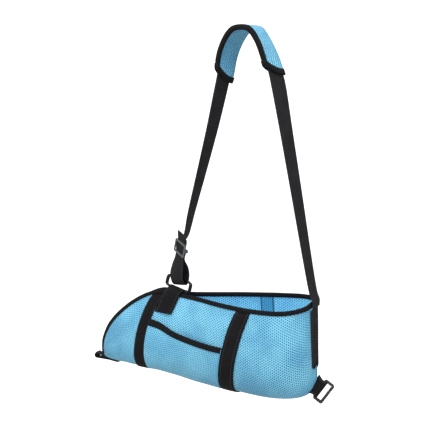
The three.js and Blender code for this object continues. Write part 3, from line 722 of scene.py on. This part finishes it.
TAB_U = 0.4835  # at the rim
TAB_LEAN = 0.2  # how far it leans towards the hand end below the rim
TAB_HALF_WIDTH = 17.5
TAB_CLEAR = 0.4
# Up the pouch to the rim: v, and how far the tab has lifted off.
TAB_STEPS = [(0.795, 0), (0.86, 0.2), (0.92, 1), (0.97, 2.9), (1, 3.7)]


def on_tab(side, v, lift):
    u = TAB_U - TAB_LEAN * (1 - v)
    along, _, out = slopes(u, side * v)
    at = off_pouch(u, side * v, OVER_TAPE + WEB_THICK / 2 + TAB_CLEAR + lift)
    return at, unit(along), out


def wrist_tab():
    """The tab goes up over the front rim, round the ring's bar and down over the back rim."""
    bar = RING_WIRE / 2 + 2 * TOUCH + WEB_THICK / 2
    over = turned(RING_FOOT, RING_ALONG, vec(0, 0, 1))[1]
    behind = np.cross(over, RING_ALONG)
    frames = [on_tab(-1, v, lift) for v, lift in TAB_STEPS]
    for angle in np.radians(steps(165, 15, 8)):
        up = behind * math.cos(angle) + over * math.sin(angle)
        frames.append((RING_FOOT + up * bar, RING_ALONG, up))
    frames += [on_tab(1, v, lift) for v, lift in reversed(TAB_STEPS)]
    ribbon("wrist_tab_webbing", "wrist_tab", finer(frames, 110), TAB_HALF_WIDTH, TAB_WEB, "pouch")


# ---- shoulder strap ---------------------------------------------------------------------------

PAD_LAYER = 2.7
PAD_GAP = WEB_THICK / 2 + 0.8
CROWN = PAD_GAP + PAD_LAYER

# From the elbow seam over the shoulder to the slider: place, heading of its width.
ROUTE = [
    (140, 0, -489.5, 90), (139.5, 0, -477, 89), (132.8, 0, -459, 87), (118.5, -1, -386, 83),
    (101.5, -4, -290, 77), (82, -8, -180, 70), (67, -10, -100, 62), (58.5, -10, -70, 67),
    (48, -9, -42, 75), (36, -7, -19, 81), (20, -4, CROWN - 4, 81), (0, 0, CROWN, 78),
    (-18, 4, CROWN - 5, 76), (-34, 7, -20, 72), (-46, 8, -48, 69), (-51, 8, -80, 67),
    (-57.5, 7, -110, 68), (-74, 6, -178, 75), (-96.5, 4.5, -262, 84), (-117.5, 5, -335, 92),
    (-125, 5.5, -365, 97), (-130.5, 4.5, -386, 103),
]
PAD_STOPS = (6.6, 15.4)  # where the pad begins and ends, as fractions between two places
CROWN_STOP = 11
SLIDER_AT = vec(-138, 0, -407)
SLIDER_DOWN = unit(vec(-0.24, 0.08, -0.96))
SLIDER_HEADING = 148
RING_HEADING = 166
LOOP_FOOT = vec(-142, 2.5, -479.5)
PLY = WEB_THICK / 2 + 0.25
HANG_LENGTH = 74
SLIDER_SHARE = 0.24
RING_SHARE = 0.7

# The loop from the side: share of the way to its foot, how far behind its middle, and how far
# it is still turned back towards the strap's own heading.
LOOP_SIDE = [
    (-0.17, 3.4, 14), (-0.07, PLY, 0), (0.1, PLY, 0), (0.24, PLY, 0), (0.34, 2.8, 0),
    (0.5, 7.4, 0), (0.68, 10, 0), (0.84, 9.2, 0), (0.95, 5.5, 0), (1, 0, 0), (0.95, -5.3, 0),
    (0.84, -8.6, 0), (0.68, -8.8, 0), (0.5, -5, 0), (0.34, -2, 0), (0.22, -PLY, 0),
    (0.1, -PLY, 0), (-0.02, -PLY, 0), (-0.14, -PLY, 0), (-0.22, -1.8, 0), (-0.3, -3.4, 0),
    (-0.42, -4.8, 0),
]


def hanging_stop(share, back, turned_back):
    """A stop of the strap below the slider's top: (place, width direction)."""
    bend = SLIDER_AT + SLIDER_DOWN * HANG_LENGTH * 0.45
    w = max(share, 0)
    middle = SLIDER_AT * (1 - w) ** 2 + bend * 2 * w * (1 - w) + LOOP_FOOT * w * w
    down = unit((bend - SLIDER_AT) * (1 - w) + (LOOP_FOOT - bend) * w)
    middle = middle + down * min(share, 0) * HANG_LENGTH
    turn = smooth(share, SLIDER_SHARE, RING_SHARE)
    wish = heading(mix(SLIDER_HEADING, RING_HEADING, turn) - turned_back)
    _, wide, up = turned(middle, down, wish)
    return middle - up * back, wide


STOPS = [(vec(*row[:3]), heading(row[3])) for row in ROUTE]
STOPS += [hanging_stop(*row) for row in LOOP_SIDE]
STOP_AT, STOP_WIDE = (np.array(part) for part in zip(*STOPS))
LAST_STOP = len(STOPS) - 1


def strap_frame(stop):
    """Frames of the strap at stops, which may be fractions between two stops."""
    t = np.asarray(stop, float) / LAST_STOP
    at = spline(STOP_AT, t)
    along = spline(STOP_AT, t + 1e-5) - spline(STOP_AT, t - 1e-5)
    return turned(at, along, spline(STOP_WIDE, t))


SLIDER_STOPS = (23.5, 39)  # where the two plies pass the slider, pressed a little wider
SLIDER_SPREAD = 2.6


def strap():
    """One strap from the elbow seam through the pad and slider to its free tail."""
    # Rows lie closer together over the shoulder and in the loop than on the straight run.
    rows = np.concatenate([steps(0, 16, 300), steps(16.1, 21, 60), steps(21.1, LAST_STOP, 240)])
    spread = sum(np.exp(-(((rows - stop) / 1.2) ** 2)) for stop in SLIDER_STOPS)
    half_width = (WEB_WIDTH / 2 + SLIDER_SPREAD * spread)[:, None, None]
    piece = ribbon("shoulder_strap_webbing", "shoulder_strap", strap_frame(rows), half_width,
                   WEBBING, None)
    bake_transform(piece)


# ---- shoulder pad -----------------------------------------------------------------------------

PAD_HALF_WIDTH = 26
PAD_END_HALF_WIDTHS = (22, 19.7)  # at the elbow end and at the hand end
SLEEVE = WEB_WIDTH / 2 + 1  # half the width of the channel that the strap runs in
PAD_CUT = 0.75  # how many stops shorter the pad is at its front edge
PAD_SEAM = 0.3  # half the gap between the two layers at the front edge
PAD_TAPE = 4.5
PAD_TAPE_GAP = TOUCH + 0.2
PAD_END_TAPE = 9
PAD_LENGTH = 240
PAD_DROOP = 3  # of the wide back edge
PAD_TUCK = 0.012  # the sheet stops this share of the length short, under the end tapes
EDGE_TUCK = 0.8
PAD_PUFF = 0.25
PAD_CROWN = 0.3  # of the sleeve over the strap
FOLD_OVER = 1.3  # how much higher the end tape passes over the edge's tape
NOSE = 1.6


def pad_half(along):
    bulge = np.maximum(0, np.sin(math.pi * np.asarray(along, float))) ** 0.8
    return mix(mix(*PAD_END_HALF_WIDTHS, along), PAD_HALF_WIDTH, bulge)


def on_pad(along, across, height):
    """A point of the pad: along from 0 to 1, a distance across and a height over the strap."""
    along, across, height = np.broadcast_arrays(along, across, height)
    forward = np.minimum((1 - across / pad_half(along)) / 2, 1)
    short = PAD_CUT * forward ** 2
    at, wide, up = strap_frame(mix(PAD_STOPS[0] + short, PAD_STOPS[1] - short, along))
    flip = np.sign(strap_frame(CROWN_STOP)[2][2])
    droop = PAD_DROOP * smooth(across, SLEEVE, pad_half(along)) ** 2
    return at + wide * across[..., None] + up * ((height - droop) * flip)[..., None]


def pad_section(along):
    """Inner and outer face from the front edge, over the strap and back under it: (k, 2)."""
    half = float(pad_half(along))
    top = PAD_GAP + PAD_LAYER
    upper = [
        ((-half, PAD_SEAM), (-half, PAD_SEAM + PAD_LAYER)),
        (((-half - SLEEVE) / 2, (PAD_SEAM + PAD_GAP) / 2), ((-half - SLEEVE) / 2, top - 0.6)),
        ((-SLEEVE, PAD_GAP), (-SLEEVE, top)),
        ((-SLEEVE / 2, PAD_GAP), (-SLEEVE / 2, top + 0.8 * PAD_CROWN)),
        ((0, PAD_GAP), (0, top + PAD_CROWN)),
        ((SLEEVE / 2, PAD_GAP), (SLEEVE / 2, top + 0.7 * PAD_CROWN)),
        ((SLEEVE - 0.8, PAD_GAP), (SLEEVE, top)),
        ((half - PAD_LAYER, PAD_GAP * 0.5), (half - PAD_LAYER * 0.35, top * 0.6)),
    ]
    fold = [((half - PAD_LAYER, 0), (half, 0))]
    under = [((a[0], -a[1]), (b[0], -b[1])) for a, b in reversed(upper)]
    return np.array(upper + fold + under)


def pad():
    """The mesh sleeve, folded at the back and open to the tape along the front."""
    rows = steps(PAD_TUCK, 1 - PAD_TUCK, 90)
    sections = np.array([pad_section(along) for along in rows])
    sections[:, [0, -1], :, 0] += EDGE_TUCK
    along = rows[:, None]
    inner = on_pad(along, sections[:, :, 0, 0], sections[:, :, 0, 1])
    puff = PAD_PUFF * np.sin(along * 31) * np.cos(sections[:, :, 1, 0] / 9)
    outer = on_pad(along, sections[:, :, 1, 0], sections[:, :, 1, 1] + puff)
    piece = shell("shoulder_pad", outer, inner, grid_uvs(outer), PAD_MESH, "strap")
    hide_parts("pad_sleeve")


def pad_edge_tape():
    rows = steps(0, 1, 100)
    half = pad_half(rows)
    rise = (PAD_GAP - PAD_SEAM) * np.minimum(1, PAD_TAPE / (half - SLEEVE))
    faces = []
    for skin in (PAD_TAPE_GAP + TAPE_THICK, PAD_TAPE_GAP):
        grid = []
        for inwards, level in TAPE_SECTION:
            across = -half + inwards * (PAD_TAPE if inwards > 0 else skin)
            lift = PAD_SEAM + PAD_LAYER + max(inwards, 0) * rise + skin
            grid.append(on_pad(rows, across, level * lift))
        faces.append(np.stack(grid, 1))
    piece = shell("pad_edge_tape", *faces, grid_uvs(faces[0]), TAPE, "strap")
    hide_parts("pad_edge_binding")


# The end tape's section: how far in along the pad or out past its end, and how deep it goes.
END_SECTION = [(1, 0), (0.55, 0.02), (0.15, 0), (-0.6, 0.1), (-1, 0.35), (-0.8, 0.8), (-0.3, 1)]


def pad_end_tape(name, end):
    """Tape round the end of the pad, where the strap comes out, and over the edge's tape."""
    faces = []
    for skin in (PAD_TAPE_GAP + TAPE_THICK, PAD_TAPE_GAP):
        grid = []
        for inwards, depth in END_SECTION:
            near = inwards * PAD_END_TAPE if inwards > 0 else inwards * (skin + 1)
            along = near / PAD_LENGTH if end == 0 else 1 - near / PAD_LENGTH
            section = pad_section(min(max(along, 0), 1))
            inner, outer = section[:, 0], section[:, 1]
            thick = np.linalg.norm(outer - inner, axis=1, keepdims=True)
            over_edge = 1 - smooth(outer[:, :1], float(outer[0, 0]), -SLEEVE)
            lift = mix(skin + FOLD_OVER * over_edge, TOUCH - thick, depth)
            place = outer + (outer - inner) / thick * lift
            nose = vec(float(place[0, 0]) - (skin + NOSE) * (1 - 0.4 * depth), 0)
            place = np.vstack([nose, place, nose])
            grid.append(on_pad(along, place[:, 0], place[:, 1]))
        faces.append(np.stack(grid, 1))
    piece = shell(name + "_tape", *faces, grid_uvs(faces[0]), TAPE, "strap")
    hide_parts(name)


# ---- elbow seam -------------------------------------------------------------------------------

SEAM_REACH = 14  # how far the binding reaches in from the seam, on both faces
SEAM_FOOT = 0.38  # v at its lower end
SEAM_HEAD = 0.93
SEAM_EDGE = 0.001  # a column on each side of the seam's very edge
SEAM_HEIGHTS = (WEB_FLOOR + WEB_THICK, SKIN + 0.1)  # of its outer and inner faces
END_FOLD = (SEAM_FOOT - 0.045, SEAM_FOOT + 0.004)
END_FOLD_WIDTH = 0.6  # as a share of the binding's


def on_seam(column, v, height):
    """A place on the binding: column runs from -1 at its front edge to 1 at its back edge."""
    side = math.copysign(1, column)
    along, _, out = slopes(1.0, side * v)
    if abs(column) <= SEAM_EDGE:
        return bare_pouch(1.0, side * v) + out * height + unit(along) * (height - SKIN)
    length = np.linalg.norm(along, axis=-1)
    return off_pouch(1 - SEAM_REACH * abs(column) / length, side * v, height)


def seam_cover(name, node, low, high, width, material, slot):
    """A cover folded over the seam, from v low to v high and width wide as a share."""
    rows = steps(low, high, 30)
    columns = width * vec(-1, -0.75, -0.5, -0.25, 0.25, 0.5, 0.75, 1)
    columns = [*columns[:4], -SEAM_EDGE, SEAM_EDGE, *columns[4:]]
    grids = []
    for height in SEAM_HEIGHTS:
        grids.append(np.stack([on_seam(c, rows, height) for c in columns], 1))
    piece = shell(name, *grids, grid_uvs(grids[0]), material, "pouch")
    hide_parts(node)


def elbow_seam():
    seam_cover("elbow_seam_webbing", "elbow_seam_binding", SEAM_FOOT, SEAM_HEAD, 1, WEBBING,
               "webbing")
    seam_cover("seam_end_fold", "seam_end_tack", *END_FOLD, END_FOLD_WIDTH, TAPE, "binding_tape")


# ---- waist loop's tab and hand-end loop --------------------------------------------------------

LOOP_AT = vec(155.5, 4, -646)
LOOP_OUT = unit(vec(0.79, 0.2, -0.58))
LOOP_ALONG = turned(LOOP_AT, LOOP_OUT, vec(-0.35, -0.3, -0.85))[1]
LOOP_UP = unit(np.cross(LOOP_ALONG, LOOP_OUT))
LOOP_DEPTH = 20
LOOP_BAR = 4.2
LOOP_THICK = 4
TAB_ROUND = math.hypot(LOOP_BAR, LOOP_THICK) / 2 + TOUCH + WEB_THICK / 2
# The tab's neck and foot, measured out from the bar, and how the foot is shaped.
TAB_NECK = -6.5
TAB_FOOT = -17
TAB_SCOOP = 0.5
TAB_FLARE = 4
TAB_WRAP = 125  # degrees each way round the bar
NECK_GAP = 0.5


def elbow_tab():
    """The tab runs out from the pouch, round the loop's inner bar and back."""
    bar = LOOP_AT + LOOP_OUT * (LOOP_BAR - LOOP_DEPTH) / 2
    rows = [(TAB_FOOT, PLY, 0, 1), (TAB_NECK, PLY + NECK_GAP, 0, 1)]
    for angle in np.radians(steps(TAB_WRAP, -TAB_WRAP, 20)):
        normal = (math.cos(angle), math.sin(angle))
        rows.append((TAB_ROUND * normal[0], TAB_ROUND * normal[1], *normal))
    rows += [(TAB_NECK, -PLY - NECK_GAP, 0, -1), (TAB_FOOT, -PLY, 0, -1)]
    across = steps(-1, 1, 10)
    grids = []
    for half in (WEB_THICK / 2, -WEB_THICK / 2):
        grid = []
        for out, up, normal_out, normal_up in rows:
            foot = out == TAB_FOOT
            scoop = TAB_SCOOP * (1 - across ** 2) if foot else 0 * across
            width = WEB_WIDTH / 2 + (TAB_FLARE if foot else 0)
            grid.append(
                bar
                + LOOP_ALONG * (across * width)[:, None]
                + LOOP_OUT * (out + scoop + normal_out * half)[:, None]
                + LOOP_UP * (up + normal_up * half)
            )
        grids.append(np.stack(grid))
    piece = shell("elbow_tab_webbing", *grids, grid_uvs(grids[0]), TAB_WEB, "pouch")
    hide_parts("elbow_tab")


HAND_LOOP_WIDTH = 15
HAND_LOOP_TIP = vec(-334, 0, -645.5)
HAND_LOOP_ROUND = 5
HAND_LOOP_DROP = 1
HAND_LOOP_SEWN = (0.1, 0.06, 0.02)  # u of the places where it lies under the fold


def hand_loop():
    """Webbing sewn under the fold, out past the hand end, round and back under itself."""
    def under(u, level):
        at = spline(FOLD, u)
        drop = SKIN + HAND_LOOP_DROP + (WEB_THICK if level < 0 else 0)
        return at - vec(0, 0, drop), vec(0, 1, 0), vec(0, 0, level)

    frames = [under(u, 1) for u in HAND_LOOP_SEWN]
    for angle in np.radians(steps(90, 270, 8)):
        up = vec(math.cos(angle), 0, math.sin(angle))
        frames.append((HAND_LOOP_TIP + up * HAND_LOOP_ROUND, vec(0, 1, 0), up))
    frames += [under(u, -1) for u in reversed(HAND_LOOP_SEWN)]
    ribbon("hand_end_loop_webbing", "hand_end_loop", finer(frames, 70), HAND_LOOP_WIDTH / 2,
           WEBBING, "pouch")


# ---- buckles ----------------------------------------------------------------------------------

LOOP_SWELL = 0.7  # mm of displacement along the normals
SOFT_EDGE = 0.5


def moulded_node(name, material, swollen):
    """A CAD node kept as it is, with softened edges and its plastic, swollen by some mm."""
    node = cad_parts[name]
    node.data.materials.clear()
    node.data.materials.append(material)
    if swollen:
        swell = node.modifiers.new("full sections", "DISPLACE")
        swell.strength = swollen * MM
        swell.mid_level = 0
    bevel = node.modifiers.new("soft edges", "BEVEL")
    bevel.width = SOFT_EDGE * MM
    bevel.segments = 3
    bevel.limit_method = "ANGLE"
    bevel.angle_limit = math.radians(40)


# ---- stage, light and camera ------------------------------------------------------------------


def backdrop():
    """A pale round floor that curves up all round into a wall, well away from the sling."""
    level, reach, bend, top, sides = -1.35, 3.5, 2.5, 9, 48
    profile = [(0.01, level), (reach, level)]
    for angle in np.radians(steps(0, 90, 12)[1:]):
        profile.append((reach + bend * math.sin(angle), level + bend * (1 - math.cos(angle))))
    profile.append((reach + bend, top))
    points = []
    for turn in steps(0, 2 * math.pi, sides)[:-1]:
        points += [(r * math.cos(turn), r * math.sin(turn), z) for r, z in profile]
    count = len(profile)
    faces = []
    for side in range(sides):
        here, there = side * count, (side + 1) % sides * count
        for i in range(count - 1):
            faces.append((here + i, there + i, there + i + 1, here + i + 1))
    mesh = bpy.data.meshes.new("backdrop")
    mesh.from_pydata(points, [], faces)
    mesh.polygons.foreach_set("use_smooth", [True] * len(faces))
    sheet = bpy.data.objects.new("backdrop", mesh)
    bpy.context.collection.objects.link(sheet)
    paint = Nodes("pale_backdrop")
    grain = paint.noise(paint.node("TexCoord").outputs["Object"], 3, 3.0)
    paint.put(paint.shader.inputs["Roughness"], paint.ramp(grain, 0.2, 0.8, 0.8, 0.95))
    mesh.materials.append(paint.set(Base_Color=(0.95, 0.95, 0.95, 1),
                                    Emission_Color=WHITE, Emission_Strength=0.7))
    # It is seen, but neither lights nor shades the sling, which the even world does instead.
    sheet.visible_diffuse = False
    sheet.visible_glossy = False
    sheet.visible_shadow = False
    return sheet


def studio():
    scene = bpy.context.scene
    scene.view_settings.view_transform = "Standard"
    world = bpy.data.worlds.new("studio")
    scene.world = world
    world.use_nodes = True
    world.node_tree.nodes["Background"].inputs["Color"].default_value = WHITE
    world.node_tree.nodes["Background"].inputs["Strength"].default_value = 0.6
    backdrop()

    def lamp(name, place, target, size, power):
        light = bpy.data.lights.new(name, "AREA")
        light.size = size
        light.energy = power
        lamp_object = bpy.data.objects.new(name, light)
        bpy.context.collection.objects.link(lamp_object)
        aim(lamp_object, place, target)

    middle = vec(-0.06, 0, -0.4)
    lamp("key", vec(-0.9, -2.2, 1.3), middle, 1.6, 32)
    lamp("fill", vec(2.3, -1.4, 0.3), middle, 2.0, 20)
    lamp("top", vec(0.15, -0.9, 1.5), middle, 1.0, 27)


def aim(item, place, target):
    item.location = place
    item.rotation_euler = (Vector(target) - Vector(place)).to_track_quat("-Z", "Y").to_euler()


def camera():
    lens = bpy.data.cameras.new("camera")
    lens.sensor_width = 36
    lens.lens = 79.5
    item = bpy.data.objects.new("camera", lens)
    bpy.context.collection.objects.link(item)
    aim(item, vec(0.7566, -1.5452, -0.068), vec(-0.065, 0, -0.338))
    bpy.context.scene.camera = item


camera()
studio()
pouch()
rim_tape("front_rim_binding", -1)
rim_tape("back_rim_binding", 1)
pouch_band("wrist_band", WRIST_BAND)
pouch_band("middle_band", MIDDLE_BAND)
pocket()
pocket_tape()
ring()
wrist_tab()
strap()
pad()
pad_edge_tape()
pad_end_tape("pad_elbow_end_binding", 0)
pad_end_tape("pad_hand_end_binding", 1)
elbow_seam()
elbow_tab()
hand_loop()
moulded_node("slider", GREY_SATIN, 0)
moulded_node("elbow_loop", SATIN, LOOP_SWELL)
